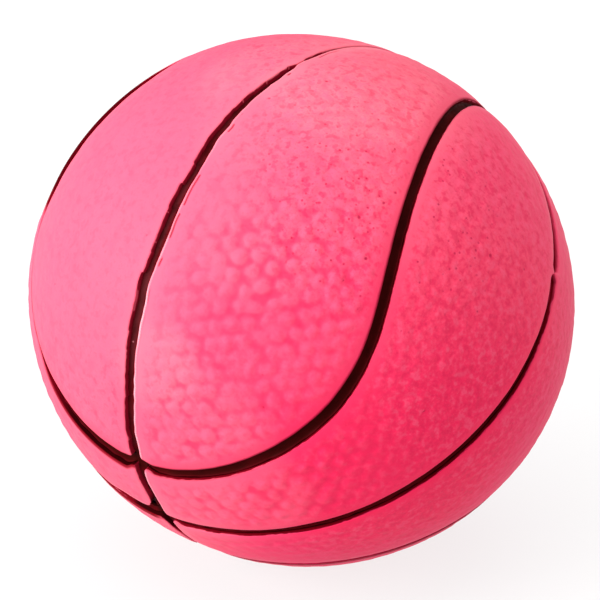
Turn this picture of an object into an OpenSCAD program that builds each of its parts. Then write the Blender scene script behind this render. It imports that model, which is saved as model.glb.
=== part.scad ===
// Small foam ball for a dog, moulded with the seam lines of a basketball.
// A cellular foam core carries a dense pebbled skin. Grooves part the skin into
// eight fields of like outline, and paint fills the floor of every groove.
// Millimetres. The origin is the centre of the ball, +X runs along the moulding
// axis, square to the parting groove, and +Z is up.

/* [Ball] */
// Diameter of the ball, square to the moulding axis
ball_d = 63; // [50:0.5:80]
// Length along the moulding axis as a share of the diameter
stretch = 1.05; // [1:0.01:1.08]

/* [Skin] */
// Thickness of the dense skin, which is also the depth of the grooves
skin_t = 1.2; // [0.8:0.1:2]
// Width of the grooves at their floor
groove_w = 1.4; // [1:0.1:2.4]

/* [Paint] */
// Thickness of the paint on the floor of the grooves
paint_t = 0.3; // [0.2:0.05:0.6]
// Bare margin left between the paint and each wall of its groove
paint_gap = 0.05; // [0.02:0.01:0.1]

/* [Seam pattern] */
// Angle from a pole, where the two ring grooves cross, to the winding seam
seam_reach = 18.4; // [15:0.1:24]
// Turn of each quarter of the winding seam about the poles, away from the parting ring
seam_turn = 3.5; // [0:0.1:5]
// How far the waists of the winding seam are drawn in
seam_waist = 0.025; // [0:0.001:0.04]
// How square the shoulders of the winding seam are
seam_shoulder = 0.065; // [0:0.001:0.09]
// How far the shoulders lean along the winding seam
seam_lean = -43; // [-60:1:60]
// Roll of the whole pattern about the moulding axis
pattern_roll = 37.1; // [0:0.1:90]

/* [Hidden] */
$fn = 180;

ball_r = ball_d / 2;
core_r = ball_r - skin_t;
paint_w = groove_w - 2 * paint_gap;
big = 2 * ball_d;

// The arc of the winding seam in one quarter of the ball is cut in this many
// steps, and runs on past both rings by a few degrees.
steps = 40;
run_on = 6;

pink = [0.96, 0.27, 0.45];
deep_pink = [0.90, 0.20, 0.38];
foam_pink = [0.97, 0.55, 0.66];
black = [0.09, 0.04, 0.05];

// --- the winding seam ---------------------------------------------------
// In pattern axes the parting ring lies in the plane X = 0, the cross ring in
// the plane Z = 0, and they cross at the poles on Y. The winding seam is one
// closed curve of the tennis ball kind: it passes the pole on -Y on both sides
// of the cross ring, and the pole on +Y on both sides of the parting ring. Its
// four quarters mirror one another across the planes of the rings.

function unit(v) = v / norm(v);

// Direction of the seam in the quarter on +X and +Z
function seam_dir(t) =
    let (s = sin(seam_reach),
         a = (1 + s) / 2,
         b = (1 - s) / 2,
         u = a * cos(t) + b * cos(3 * t) + seam_waist * cos(7 * t),
         v = a * sin(t) - b * sin(3 * t) - seam_waist * sin(7 * t),
         w = cos(seam_reach) * sin(2 * t) - seam_shoulder * sin(6 * t + seam_lean))
    unit(u * [sin(45 + seam_turn), 0, cos(45 + seam_turn)]
         + v * [sin(seam_turn - 45), 0, cos(seam_turn - 45)]
         + w * [0, -1, 0]);

// The same curve moved sideways over the sphere by a distance d. A positive
// distance leads towards the cheeks on X.
function seam_side(t, d) =
    let (q = seam_dir(t),
         n = unit(cross(q, seam_dir(t + 0.05) - seam_dir(t - 0.05))),
         g = d / ball_r * 180 / PI)
    q * cos(g) + n * sin(g);

// Sign of X and of Z in the four quarters between the rings
function sign_x(k) = (k == 0 || k == 3) ? 1 : -1;
function sign_z(k) = (k == 0 || k == 1) ? 1 : -1;

// One quarter of the seam, from the pole on +Y to the pole on -Y
function quarter(k, d) =
    [for (i = [0 : steps])
        let (q = seam_side((45 + run_on) * (2 * i / steps - 1), d))
        [sign_x(k) * q[0], q[1], sign_z(k) * q[2]]];

function backwards(list) = [for (i = [len(list) - 1 : -1 : 0]) list[i]];

// --- building blocks ----------------------------------------------------

// A solid cone from the centre of the ball out through a closed loop of
// directions, seen as a fan from the direction m
module cone_from_fan(loop, m, flip) {
    n = len(loop);
    pts = concat([[0, 0, 0], unit(m) * big], [for (p = loop) unit(p) * big]);
    tris = [for (i = [0 : n - 1]) let (j = (i + 1) % n)
            each [[1, 2 + i, 2 + j], [0, 2 + j, 2 + i]]];
    polyhedron(pts, flip ? [for (f = tris) [f[0], f[2], f[1]]] : tris);
}

// A solid cone from the centre of the ball out through a narrow band between
// two lines of directions
module cone_from_band(left, right, flip) {
    n = len(left);
    pts = concat([[0, 0, 0]], [for (p = left) p * big], [for (p = right) p * big]);
    l = function (i) 1 + i;
    r = function (i) 1 + n + i;
    tris = concat(
        [for (i = [0 : n - 2]) each [
            [l(i), l(i + 1), r(i + 1)], [l(i), r(i + 1), r(i)],
            [0, l(i + 1), l(i)], [0, r(i), r(i + 1)]]],
        [[0, l(0), r(0)], [0, r(n - 1), l(n - 1)]]);
    polyhedron(pts, flip ? [for (f = tris) [f[0], f[2], f[1]]] : tris);
}

// A ball turned so that its own poles lie on X
module ball(r) {
    rotate([0, 90, 0]) rotate([0, 0, 90]) sphere(r = r);
}

// A hollow ball, from one radius to another
module hollow_ball(inner, outer) {
    difference() {
        ball(outer);
        ball(inner);
    }
}

// The part of space in quarter k that stands clear of the two rings by gap
module quarter_space(k, gap) {
    sx = sign_x(k);
    sz = sign_z(k);
    translate([sx * (gap + big / 2), 0, sz * (gap + big / 2)])
        cube([big, 2 * big, big], center = true);
}

// From pattern axes to the ball's own frame
module placed() {
    scale([stretch, 1, 1]) rotate([pattern_roll, 0, 0]) children();
}

// A skin field that reaches over the pole on Z, beside the parting ring
module panel(k) {
    sx = sign_x(k);
    sz = sign_z(k);
    loop = concat(quarter(k, -groove_w / 2),
        [[-sx * 0.6, -0.5, sz * 0.6], [-sx * 0.8, 0.3, sz * 0.5],
         [-sx * 0.5, 0.8, -sz * 0.35]]);
    placed() intersection() {
        hollow_ball(core_r, ball_r);
        quarter_space(k, groove_w / 2);
        cone_from_fan(loop, [sx * 0.05, 0.3, sz * 0.95], sx * sz < 0);
    }
}

// A skin field that reaches over the pole on X, beside the cross ring
module cheek(k) {
    sx = sign_x(k);
    sz = sign_z(k);
    loop = concat(backwards(quarter(k, groove_w / 2)),
        [[sx * 0.6, 0.5, -sz * 0.6], [sx * 0.5, -0.3, -sz * 0.8],
         [-sx * 0.35, -0.8, -sz * 0.5]]);
    placed() intersection() {
        hollow_ball(core_r, ball_r);
        quarter_space(k, groove_w / 2);
        cone_from_fan(loop, [sx * 0.95, -0.3, sz * 0.05], sx * sz < 0);
    }
}

// Paint in one quarter of the winding seam
module seam_paint(k) {
    placed() intersection() {
        hollow_ball(core_r, core_r + paint_t);
        quarter_space(k, paint_w / 2);
        cone_from_band(quarter(k, -paint_w / 2), quarter(k, paint_w / 2),
            sign_x(k) * sign_z(k) > 0);
    }
}

// --- the pieces ---------------------------------------------------------

// Open-celled foam under the skin
module foam_core() {
    color(foam_pink) placed() ball(core_r);
}

module skin_panel_upper_right() { color(pink) panel(0); }
module skin_panel_upper_left() { color(pink) panel(1); }
module skin_panel_lower_left() { color(pink) panel(2); }
module skin_panel_lower_right() { color(pink) panel(3); }

module skin_cheek_upper_right() { color(deep_pink) cheek(0); }
module skin_cheek_upper_left() { color(deep_pink) cheek(1); }
module skin_cheek_lower_left() { color(deep_pink) cheek(2); }
module skin_cheek_lower_right() { color(deep_pink) cheek(3); }

// Paint all round the parting groove, where the halves of the mould meet
module paint_parting_ring() {
    color(black) rotate([0, 90, 0]) difference() {
        cylinder(r = core_r + paint_t, h = paint_w * stretch, center = true);
        cylinder(r = core_r, h = 2 * paint_w * stretch, center = true);
    }
}

// Half of the paint in the groove square to the parting groove
module cross_ring(side) {
    placed() intersection() {
        rotate([0, 90, 0]) hollow_ball(core_r, core_r + paint_t);
        translate([side * (paint_w / 2 + big / 2), 0, 0])
            cube([big, big, paint_w], center = true);
    }
}

module paint_cross_ring_right() { color(black) cross_ring(1); }
module paint_cross_ring_left() { color(black) cross_ring(-1); }

module paint_seam_upper_right() { color(black) seam_paint(0); }
module paint_seam_upper_left() { color(black) seam_paint(1); }
module paint_seam_lower_left() { color(black) seam_paint(2); }
module paint_seam_lower_right() { color(black) seam_paint(3); }

foam_core();
skin_panel_upper_right();
skin_panel_upper_left();
skin_panel_lower_left();
skin_panel_lower_right();
skin_cheek_upper_right();
skin_cheek_upper_left();
skin_cheek_lower_left();
skin_cheek_lower_right();
paint_parting_ring();
paint_cross_ring_right();
paint_cross_ring_left();
paint_seam_upper_right();
paint_seam_upper_left();
paint_seam_lower_left();
paint_seam_lower_right();
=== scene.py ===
import math

import bpy
import numpy as np
from mathutils import Matrix, Vector
from mathutils.kdtree import KDTree


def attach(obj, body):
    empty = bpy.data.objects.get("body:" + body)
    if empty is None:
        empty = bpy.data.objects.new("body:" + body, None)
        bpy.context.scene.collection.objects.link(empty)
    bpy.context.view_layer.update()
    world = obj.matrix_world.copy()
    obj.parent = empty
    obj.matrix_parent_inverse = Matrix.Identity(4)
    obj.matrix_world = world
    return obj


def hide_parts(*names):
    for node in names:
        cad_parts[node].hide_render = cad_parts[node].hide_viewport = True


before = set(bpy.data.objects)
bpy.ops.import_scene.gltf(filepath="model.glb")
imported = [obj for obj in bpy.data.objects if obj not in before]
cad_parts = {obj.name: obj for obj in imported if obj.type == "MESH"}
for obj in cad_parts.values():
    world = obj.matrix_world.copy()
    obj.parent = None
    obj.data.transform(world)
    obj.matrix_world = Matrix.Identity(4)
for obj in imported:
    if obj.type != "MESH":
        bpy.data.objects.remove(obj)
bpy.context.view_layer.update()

# ---------------------------------------------------------------------------
# Measures in millimetres, as in the CAD model. In pattern axes the parting
# groove A lies in the plane X = 0, the cross groove B in the plane Z = 0, and
# the winding groove C snakes round both.
# ---------------------------------------------------------------------------
R = 31.5
STRETCH = 1.05
SKIN = 1.2
GROOVE = 1.4
PAINT = 0.3
PAINT_HALF = GROOVE / 2 - 0.05
CORE_R = R - SKIN
REACH, TURN, WAIST, SHOULDER, LEAN = 18.4, 3.5, 0.025, 0.065, -43.0
ROLL = math.radians(37.1)
MM = 0.001

FINE = 236      # grid of the skin
COARSE = 44                            # grid of the skin's underside
FOAM = 96        # grid of the core

COS_ROLL, SIN_ROLL = math.cos(ROLL), math.sin(ROLL)


def unit(v):
    return v / np.linalg.norm(v, axis=-1, keepdims=True)


def to_frame(p):
    """Pattern axes in millimetres to the ball's own frame in metres."""
    return np.stack([p[:, 0] * STRETCH,
                     COS_ROLL * p[:, 1] - SIN_ROLL * p[:, 2],
                     SIN_ROLL * p[:, 1] + COS_ROLL * p[:, 2]], 1) * MM


# ---------------------------------------------------------------------------
# Small tools: noise, grids, the winding groove
# ---------------------------------------------------------------------------
def _hash(ix, iy, iz, seed):
    n = (ix * 73856093) ^ (iy * 19349663) ^ (iz * 83492791) ^ (seed * 668265263)
    n = (n ^ (n >> 13)) * 1274126177
    n = (n ^ (n >> 15)) * 668265263
    n = n ^ (n >> 16)
    return (n & 0xFFFFFF) / float(0x1000000)


def noise(p, size, seed):
    """Smooth noise from -1 to 1 at points p, with features of about that size in mm."""
    p = p / size + 137.31
    i = np.floor(p).astype(np.int64)
    f = p - i
    f = f * f * f * (f * (f * 6 - 15) + 10)
    x, y, z = i.T
    fx, fy, fz = f.T
    out = 0
    for dx in (0, 1):
        wx = fx if dx else 1 - fx
        for dy in (0, 1):
            wy = fy if dy else 1 - fy
            for dz in (0, 1):
                wz = fz if dz else 1 - fz
                out = out + wx * wy * wz * _hash(x + dx, y + dy, z + dz, seed)
    return out * 2 - 1


def ramp(x, a, b):
    """Smooth step from 0 at a to 1 at b."""
    t = np.clip((x - a) / (b - a), 0, 1)
    return t * t * (3 - 2 * t)


def soft_min(a, b, k):
    h = np.clip(0.5 + 0.5 * (b - a) / k, 0, 1)
    return b * (1 - h) + a * h - k * h * (1 - h)


def geodesic(f):
    """Points and triangles of an even grid on the unit sphere."""
    g = (1 + 5 ** 0.5) / 2
    v = unit(np.array([(-1, g, 0), (1, g, 0), (-1, -g, 0), (1, -g, 0),
                       (0, -1, g), (0, 1, g), (0, -1, -g), (0, 1, -g),
                       (g, 0, -1), (g, 0, 1), (-g, 0, -1), (-g, 0, 1)], float))
    faces = [(0, 11, 5), (0, 5, 1), (0, 1, 7), (0, 7, 10), (0, 10, 11),
             (1, 5, 9), (5, 11, 4), (11, 10, 2), (10, 7, 6), (7, 1, 8),
             (3, 9, 4), (3, 4, 2), (3, 2, 6), (3, 6, 8), (3, 8, 9),
             (4, 9, 5), (2, 4, 11), (6, 2, 10), (8, 6, 7), (9, 8, 1)]
    ij = np.array([(i, j) for i in range(f + 1) for j in range(f + 1 - i)])
    index = -np.ones((f + 1, f + 1), int)
    index[ij[:, 0], ij[:, 1]] = np.arange(len(ij))
    w = np.stack([f - ij.sum(1), ij[:, 0], ij[:, 1]], 1) / f
    edge = math.acos(float(v[0] @ v[11]))
    w = np.sin(w * edge)
    up = ij[ij.sum(1) < f]
    down = ij[ij.sum(1) < f - 1]
    local = np.concatenate([
        np.stack([index[up[:, 0], up[:, 1]], index[up[:, 0] + 1, up[:, 1]],
                  index[up[:, 0], up[:, 1] + 1]], 1),
        np.stack([index[down[:, 0] + 1, down[:, 1]], index[down[:, 0] + 1, down[:, 1] + 1],
                  index[down[:, 0], down[:, 1] + 1]], 1)])
    pts = np.concatenate([unit(w @ v[list(t)]) for t in faces])
    tris = np.concatenate([local + k * len(ij) for k in range(20)])
    key = np.round(pts * 1e6).astype(np.int64)
    key = (key[:, 0] * 4000037 + key[:, 1]) * 4000037 + key[:, 2]
    _, first, back = np.unique(key, return_index=True, return_inverse=True)
    return pts[first], back.reshape(-1)[tris]


def turned(a, b, c):
    """Rotation about X, Y and Z, in degrees, as a matrix."""
    m = Matrix.Rotation(math.radians(c), 3, "Z") @ Matrix.Rotation(math.radians(b), 3, "Y") \
        @ Matrix.Rotation(math.radians(a), 3, "X")
    return np.array(m)


def seam(t):
    """Direction of the winding groove at parameter t, in radians, in the quarter on +X and +Z."""
    s = math.sin(math.radians(REACH))
    a, b = (1 + s) / 2, (1 - s) / 2
    u = a * np.cos(t) + b * np.cos(3 * t) + WAIST * np.cos(7 * t)
    v = a * np.sin(t) - b * np.sin(3 * t) - WAIST * np.sin(7 * t)
    w = math.cos(math.radians(REACH)) * np.sin(2 * t) - SHOULDER * np.sin(6 * t + math.radians(LEAN))
    e, f = math.radians(45 + TURN), math.radians(TURN - 45)
    return unit(np.stack([u * math.sin(e) + v * math.sin(f), -w,
                          u * math.cos(e) + v * math.cos(f)], -1))


def seam_side(t):
    """Direction square to the winding groove at t, towards the cheeks on X."""
    return unit(np.cross(seam(t), seam(t + 1e-3) - seam(t - 1e-3)))


SEAM_T = np.radians(np.arange(-51, 51.1, 0.5))
SEAM_Q = seam(SEAM_T).astype(np.float32)


def seam_distance(q):
    """Signed distance in mm from the winding groove, positive on the cheek side, and where along it.

    The four quarters of the groove mirror one another across the rings."""
    q = np.stack([np.abs(q[:, 0]), q[:, 1], np.abs(q[:, 2])], 1)
    t = np.empty(len(q))
    for a in range(0, len(q), 40000):
        t[a:a + 40000] = SEAM_T[np.argmax(q[a:a + 40000].astype(np.float32) @ SEAM_Q.T, 1)]
    h = 1e-3
    for _ in range(4):
        c0, cp, cm = seam(t), seam(t + h), seam(t - h)
        slope = (q * (cp - cm)).sum(1) / (2 * h)
        bend = (q * (cp - 2 * c0 + cm)).sum(1) / (h * h)
        t = np.clip(t + np.clip(-slope / np.where(bend < -1e-3, bend, -1e-3), -0.02, 0.02), -0.89, 0.89)
    side = (q * seam_side(t)).sum(1)
    return np.arcsin(np.clip(side, -1, 1)) * R, t


# ---------------------------------------------------------------------------
# How the grooves wander. Half widths in mm, measured along each groove.
# ---------------------------------------------------------------------------
def ring_a(q):
    a = np.arctan2(q[:, 2], q[:, 1])
    return a, np.stack([np.zeros(len(q)), np.cos(a), np.sin(a)], 1) * R


def ring_b(q):
    a = np.arctan2(q[:, 1], q[:, 0])
    return a, np.stack([np.cos(a), np.sin(a), np.zeros(len(q))], 1) * R


def steps_along(a, seed):
    """Short straight runs at one of a few offsets, 0 to 1, along the parting groove."""
    s = a * R
    cell = np.floor(s / 3.4 + 0.8 * noise(np.stack([s, 0 * s, 0 * s], 1), 5.0, seed)).astype(np.int64)
    v = _hash(cell, 0 * cell, 0 * cell, seed + 5)
    return np.where(v > 0.72, 1.0, np.where(v > 0.45, 0.5, 0.0))


def kinks(a, size, seed):
    """Random offsets, -1 to 1, joined by short straight runs along a ring."""
    s = a * R / size
    i = np.floor(s).astype(np.int64)
    f = s - i
    return 2 * (_hash(i, 0 * i, 0 * i, seed) * (1 - f) + _hash(i + 1, 0 * i, 0 * i, seed) * f) - 1


def half_a(q, side):
    a, p = ring_a(q)
    d = np.degrees(a) % 360
    slim = np.interp(d, [0, 8, 18, 38, 42, 47, 51, 52, 54, 56, 62, 182, 189, 212, 228, 360],
                     [1, 1, 0.30, 0.22, 0.28, 0.40, 0.32, 0.10, 0.10, 0.7, 1, 1, 0.5, 0.5, 1, 1])
    sway = 0.17 * kinks(a, 2.4, 11) + 0.05 * kinks(a, 0.9, 19)
    if side > 0:
        w = np.interp(d, [0, 60, 76, 105, 130, 150, 360], [0.60, 0.42, 0.46, 0.82, 0.79, 0.68, 0.68])
        return slim * (w + sway + 0.025 * noise(p, 1.2, 12))
    w = np.interp(d, [0, 60, 90, 115, 145, 360], [0.60, 0.60, 0.58, 0.56, 0.68, 0.78])
    return slim * (w - sway + 0.20 * (steps_along(a, 21) - 0.35) + 0.025 * noise(p, 0.9, 14))


def half_b(q, side):
    a, p = ring_b(q)
    d = np.degrees(a) % 360
    w = np.interp(d, [0, 14, 19, 25, 30, 45, 70, 90, 250, 258, 266, 276, 294, 320, 360],
                  [0.46, 0.44, 0.58, 0.78, 0.52, 0.58, 0.56, 0.50, 0.50, 0.70, 0.72, 0.64, 0.52, 0.52, 0.46] if side > 0 else
                  [0.84, 0.79, 0.79, 0.84, 0.98, 1.08, 1.00, 0.80, 0.80, 1.10, 1.12, 1.16, 1.02, 1.02, 0.84])
    ragged = 0.03 + 0.06 * ramp(d, 4, 14) * (1 - ramp(d, 60, 80))
    w = w + 0.05 * noise(p, 5.0, 15) + ragged * noise(p, 1.1, 16 + side)
    return w * (1 - 0.9 * np.exp(-((d - 27.3) / 0.8) ** 2))


def half_c(t, sx, sz, side):
    p = seam(t) * R * np.stack([sx + 0 * t, 1 + 0 * t, sz + 0 * t], 1)
    d = np.degrees(t)
    w = np.interp(d, [-16, -8, 4, 18], [0.70, 0.76, 0.78, 1.28]) if side > 0 else \
        np.interp(d, [-16, -8, 4, 18], [0.50, 0.56, 0.57, 0.31])
    w = w + np.where(np.asarray(sx) < 0, 0.30 if side > 0 else 0.26, 0.0) * ramp(d, 20, 30)
    w = w + 0.04 * noise(p, 5.0, 17) + 0.025 * noise(p, 1.2, 18 + side)
    return w * (1 - 0.62 * shut(t, sx, sz))


def shut(t, sx, sz):
    """1 where the winding groove is pinched narrow, in two of its quarters."""
    d = np.degrees(t)
    left = ramp(d, 8, 12) * (1 - ramp(d, 23, 33))
    low = 0.75 * ramp(d, 4, 10) * (1 - ramp(d, 40, 44))
    sx, sz = np.asarray(sx), np.asarray(sz)
    return np.where((sx < 0) & (sz > 0), left, np.where((sx > 0) & (sz < 0), low, 0.0))


def at_crossings(own, other, another):
    """Half width of a groove, which is plain where another groove is near."""
    k = ramp(np.minimum(other, another), 0.8, 2.4)
    return GROOVE / 2 * (1 - k) + own * k


def edges(q, sx, sz, side):
    """Distances in mm from the edges of a field's three grooves, positive inside the field."""
    sc, t = seam_distance(q)
    a = np.arcsin(np.clip(q[:, 0], -1, 1)) * R
    b = np.arcsin(np.clip(q[:, 2], -1, 1)) * R
    da, db, dc = np.abs(a), np.abs(b), np.abs(sc)
    ea = sx * a - at_crossings(half_a(q, sx), db, dc)
    eb = sz * b - at_crossings(half_b(q, sz), da, dc)
    ec = side * sc - at_crossings(half_c(t, sx, sz, side), da, db)
    return ea, eb, ec, t


def inside(q, sx, sz, side):
    ea, eb, ec, _ = edges(q, sx, sz, side)
    blunt = 3.6 if sx < 0 and sz > 0 and side > 0 else 0.5
    return soft_min(soft_min(ea, eb, blunt), ec, 0.5)


# ---------------------------------------------------------------------------
# Relief of the skin
# ---------------------------------------------------------------------------
# Rows of pebbles, laid out on an even grid and then knocked about a little
def pebble_rows():
    q, _ = geodesic(18)
    q = q @ turned(-14.0, 33.0, 21.0).T
    q = q @ np.array(Matrix.Rotation(math.radians(-33.0), 3, Vector((0.45, -0.70, 0.55)))).T
    rng = np.random.RandomState(5)
    q = unit(q + rng.normal(size=q.shape) * (0.13 / R))
    return q, 0.70 + 0.38 * rng.rand(len(q))


PEBBLES, PEBBLE_AMP = pebble_rows()


def near(q, x, y, z, degrees):
    """1 close to a direction, falling to 0 at that angle from it."""
    d = np.array([x, y, z]) / math.sqrt(x * x + y * y + z * z)
    return 1 - ramp(np.degrees(np.arccos(np.clip(q @ d, -1, 1))), degrees * 0.45, degrees)


def pebble_strength(q):
    """How deep the pebbles were moulded: strong in places, nearly gone in others."""
    s = 0.50 + 0.36 * noise(q * R, 17.0, 31)
    for x, y, z, wide, level in ((0.52, -0.54, 0.67, 46, 1.0), (0.58, -0.80, 0.16, 34, 0.95),
                                 (-0.30, -0.36, 0.88, 44, 0.16), (-0.36, 0.32, 0.88, 50, 0.12),
                                 (0.20, 0.46, 0.86, 36, 0.34), (0.72, 0.50, 0.47, 34, 0.40),
                                 (0.93, -0.10, 0.34, 40, 0.42), (0.86, -0.40, -0.32, 40, 0.24),
                                 (0.88, 0.40, -0.20, 30, 0.12), (-0.30, -0.93, -0.22, 30, 0.12),
                                 (0.29, -0.81, -0.50, 34, 0.2), (-0.29, 0.81, 0.50, 38, 0.12),
                                 (0.75, -0.21, -0.63, 30, 0.2), (0.34, 0.93, 0.08, 30, 0.2),
                                 (0.27, -0.38, 0.88, 20, 0.60), (0.56, -0.27, 0.78, 26, 1.0),
                                 (0.44, -0.48, 0.76, 16, 0.95), (0.50, -0.68, 0.53, 18, 0.80)):
        k = near(q, x, y, z, wide)
        s = s * (1 - k) + level * k
    return np.clip(s, 0.1, 1.0)


def grain_strength(q):
    """How rough the skin is between the pebbles."""
    s = 0.55 + 0.45 * noise(q * R, 14.0, 37)
    for x, y, z, wide, level in ((0.58, 0.26, 0.77, 40, 1.0), (0.84, 0.36, 0.40, 34, 0.85),
                                 (0.94, -0.12, 0.30, 30, 0.85), (0.24, 0.62, 0.74, 30, 0.66),
                                 (-0.30, -0.30, 0.90, 52, 0.30), (0.50, -0.72, 0.48, 34, 0.40)):
        k = near(q, x, y, z, wide)
        s = s * (1 - k) + level * k
    return np.clip(s, 0.12, 1.0)


def painted_sheen(q):
    """Painted sheen: where the colour is made paler, round the top and down one side, standing in for the key
    light's haze.
    """
    s = 0.30 + 0.09 * noise(q * R, 22.0, 35)
    for x, y, z, wide, level in ((0.80, -0.50, -0.20, 64, 0.0), (0.55, -0.27, 0.79, 26, 0.27),
                                 (0.55, 0.26, 0.79, 24, 0.50), (0.35, -0.13, 0.93, 20, 0.50),
                                 (-0.32, 0.08, 0.94, 52, 0.55), (0.20, 0.66, 0.72, 34, 0.98),
                                 (-0.05, 0.47, 0.88, 18, 0.85), (0.09, 0.24, 0.97, 16, 0.66), (0.17, 0.50, 0.85, 15, 1.0), (0.34, 0.54, 0.77, 13, 1.0), (0.56, 0.30, 0.77, 11, 0.66),
                                 (-0.40, -0.62, 0.67, 46, 0.60), (-0.10, -0.97, 0.20, 34, 0.62),
                                 (0.24, -0.84, 0.48, 24, 0.50), (0.42, -0.88, 0.22, 18, 0.36),
                                 (0.11, -0.70, 0.71, 13, 0.78), (0.20, -0.94, 0.28, 17, 0.56)):
        k = near(q, x, y, z, wide)
        s = s * (1 - k) + level * k
    return np.clip(s, 0, 1)


def sunk_stretch(t):
    """Where along the winding groove, on one side, its edges have sunk in."""
    d = np.degrees(t)
    return ramp(d, -18, -11) * (1 - ramp(d, 3, 10))


def porous(q):
    """Where the skin shows open pores: crowded in one place, sparse elsewhere."""
    return 0.10 + 0.90 * near(q, 0.54, 0.24, 0.81, 42)


def pinholes():
    rng = np.random.RandomState(11)
    q = unit(rng.normal(size=(7000, 3)))
    keep = rng.rand(len(q)) < 0.002 + 0.26 * ramp(grain_strength(q), 0.5, 1.0) * porous(q)
    q = q[keep]
    return q, 0.13 + 0.09 * rng.rand(len(q)) ** 2, 0.25 + 0.60 * rng.rand(len(q))


PITS, PIT_RAD, PIT_DEEP = pinholes()


def skin_relief(q, sx, sz, side):
    """Height in mm above the ball's radius, and the masks that the finish reads."""
    ea, eb, ec, t = edges(q, sx, sz, side)
    p = q * R
    aa, pa = ring_a(q)

    # rounded shoulders along the grooves
    def shoulder(e, deep, wide, power, nick):
        return deep * np.clip(1 - e / wide, 0, 1) ** power + nick * np.clip(1 - e / 0.22, 0, 1) ** 2

    wave = noise(p, 7.0, 41)
    if sx > 0:
        drop_a = shoulder(ea - 0.35, 0.16, 2.8 + 0.5 * wave, 1.7, 0.0)
    else:
        drop_a = shoulder(ea, 0.06, 1.0, 1.6, 0.04)
    drop_b = shoulder(eb, 0.10, 1.7 + 0.3 * wave, 1.7, 0.04)
    if side > 0:
        drop_c = shoulder(ec, 0.13, 2.4 + 0.4 * wave, 1.8, 0.03)
    else:
        drop_c = shoulder(ec, 0.16, 2.3 + 0.2 * wave, 1.6, 0.06)
    if sx > 0 and sz < 0:
        drop_c = drop_c * (1 - shut(t, sx, sz))
    if sx < 0 and sz > 0:
        # here the edges have sunk in, and the foam behind them with them
        sunk = sunk_stretch(t)
        if side < 0:
            drop_c = drop_c + (0.32 + 0.07 * noise(p, 3.0, 59)) * sunk * np.clip(1 - ec / 5.0, 0, 1) ** 1.6
        else:
            drop_c = drop_c + 0.42 * sunk * ramp(ec, 0.1, 2.2) * (1 - ramp(ec, 5.0, 13.0))
            drop_b = drop_b + 0.16 * near(q, -0.115, -0.993, 0.0, 9) * np.clip(1 - eb / 3.2, 0, 1) ** 1.5
    h = -(drop_a ** 3 + drop_b ** 3 + drop_c ** 3 + 1e-12) ** (1 / 3)

    # the moulding flash along one side of the parting groove: a real raised ridge, its pale colour a painted
    # highlight where the key light catches it
    flash_and_highlight = np.zeros(len(q))
    crease_and_shade = np.zeros(len(q))
    if sx > 0:
        clear = ramp(np.minimum(eb, ec), 0.1, 0.7)
        wide = 0.17 + 0.05 * noise(pa, 2.6, 43)
        high = np.interp(np.degrees(aa) % 360, [50, 90, 112, 124, 156, 168, 180], [0.2, 0.3, 0.5, 1, 1, 0.6, 0.2])
        high = high * (0.6 + 0.4 * ramp(noise(pa, 3.0, 44), -0.4, 0.3)) * clear
        flash_and_highlight = ramp(ea, -0.05, 0.04) * (1 - ramp(ea, wide - 0.06, wide + 0.05)) * high
        torn = ramp(noise(pa, 1.3, 45) + 0.4 * noise(pa, 6.0, 46), 0.05, 0.25) * clear
        torn = torn * np.interp(np.degrees(aa) % 360, [30, 55, 112, 128, 200, 230], [0.3, 1, 1, 0.25, 0.25, 1])
        # a shallow crease beside the ridge, its colour darkened as painted shade
        crease_and_shade = np.exp(-((ea - wide - 0.14 - 0.10 * noise(pa, 2.2, 58)) / 0.13) ** 2) * torn
        h = h + 0.10 * flash_and_highlight - 0.13 * crease_and_shade

    # pebbles
    rim = np.minimum(np.minimum(ea * 1.15 - (0.55 if sx > 0 else 0.1), eb), ec)
    free = ramp(rim, 0.55, 2.3)
    centre = unit(q.mean(0))
    reach = (q @ centre).min() - 0.06
    pick = np.nonzero(PEBBLES @ centre > reach)[0]
    seeds, size = PEBBLES[pick].astype(np.float32), PEBBLE_AMP[pick].astype(np.float32)
    bent = unit(q + np.stack([noise(p, 1.3, k) for k in (47, 48, 49)], 1) * (0.17 / R)).astype(np.float32)
    mound = np.zeros(len(q))
    for a in range(0, len(q), 20000):
        mound[a:a + 20000] = np.exp((bent[a:a + 20000] @ seeds.T - 1) * (2 * R * R / 0.82 ** 2)) @ size
    mound = mound + 0.11 * noise(p, 0.95, 50) + 0.06 * noise(p, 0.5, 57)
    strength = pebble_strength(q) * free
    h = h + 0.27 * strength * (mound - 0.6)

    # orange peel, grain and slow unevenness
    grain = grain_strength(q) * ramp(rim, 0.2, 1.4)
    h = h + grain * (0.024 * noise(p, 0.62, 51) + 0.010 * noise(p, 0.36, 52)
                     + 0.034 * noise(p, 0.95, 53))
    h = h + 0.03 * noise(p, 13.0, 54) + 0.02 * noise(p, 4.2, 55)

    # pinholes
    pit = np.zeros(len(q))
    tree = KDTree(len(q))
    for i, v in enumerate(bent.astype(float)):
        tree.insert(v, i)
    tree.balance()
    for k in np.nonzero(PITS @ centre > reach)[0]:
        r = PIT_RAD[k]
        for _, i, d in tree.find_range(PITS[k], r * 1.35 / R):
            f = PIT_DEEP[k] * max(0.0, 1 - (d * R / (r * 1.35)) ** 2)
            if f > pit[i]:
                pit[i] = f
    pit *= ramp(rim, 0.1, 0.8)
    h = h - 0.11 * pit
    return h, {"flash_and_highlight": flash_and_highlight, "crease_and_shade": crease_and_shade, "pit": pit, "painted_sheen": painted_sheen(q),
               # painted shade: deeper pink on the right and lower right, away from the key light
               "painted_shade_right": np.maximum(0.8 * near(q, 0.80, -0.47, 0.08, 38), 0.75 * near(q, 0.95, 0.05, 0.28, 34)),
               "porous": porous(q),
               "rim": 1 - ramp(rim, 0.3, 2.0), "grain": grain,
               # painted highlight on the pebble tops and painted shade in the valleys between them
               "painted_pebble_highlight": ramp(mound, 0.45, 1.2) * strength, "painted_valley_shade": (1 - ramp(mound, 0.12, 0.52)) * strength}


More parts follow.
